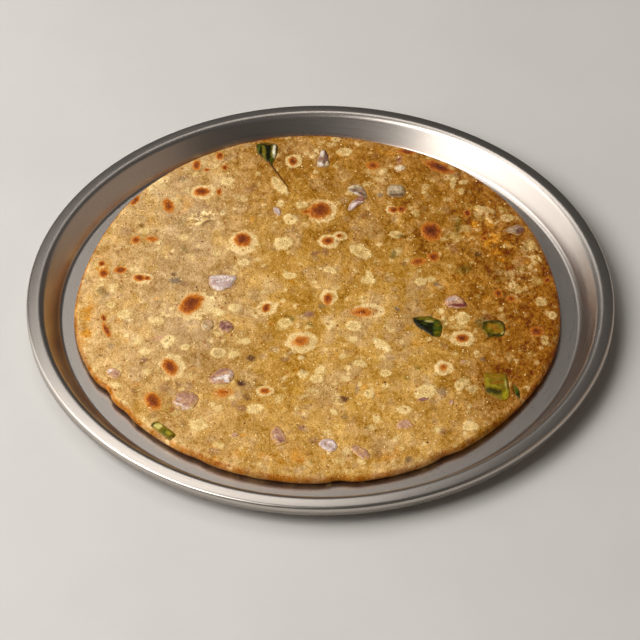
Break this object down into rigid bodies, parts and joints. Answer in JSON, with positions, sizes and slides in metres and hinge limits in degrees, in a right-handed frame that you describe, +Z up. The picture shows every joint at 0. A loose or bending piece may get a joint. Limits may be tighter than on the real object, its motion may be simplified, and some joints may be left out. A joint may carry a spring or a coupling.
{
  "type": "plate of lentil flatbread",
  "caption": "Round steel plate with a raised narrow rim, holding one lentil-stuffed flatbread with charred blisters and set-in onion, leaf and green chilli.",
  "frame": {"origin": "centre of the plate's flat underside, on the surface that it stands on", "axes": "+Z up; +Y towards the far side of the plate as pictured; +X to the right"},
  "size_m": [0.26, 0.26, 0.0113],
  "materials": {
    "steel": "satin stainless steel with faint turned marks",
    "bread": "speckled tan dough, oiled in places, with brown charred blisters and pale rings",
    "onion": "moist pale lilac onion",
    "mauve": "moist mauve onion skin side",
    "leaf": "oily dark green leaf",
    "chilli": "cooked green chilli"
  },
  "bodies": {
    "root": {"plate": "steel", "flatbread": "bread", "onion_left": "onion", "onion_mid": "mauve", "onion_pale": "onion", "onion_fold": "onion", "onion_rough": "onion", "onion_back": "onion", "onion_curl_far": "mauve", "onion_curl_near": "onion", "onion_round": "onion", "onion_right": "mauve", "onion_purple": "mauve", "onion_front_left": "mauve", "onion_front_mid": "onion", "onion_front_right": "mauve", "onion_edge": "onion", "leaf_back": "leaf", "leaf_front": "leaf", "chilli_ring": "chilli", "chilli_chunk": "chilli", "chilli_sliver": "leaf", "chilli_edge": "chilli"}
  },
  "joints": []
}
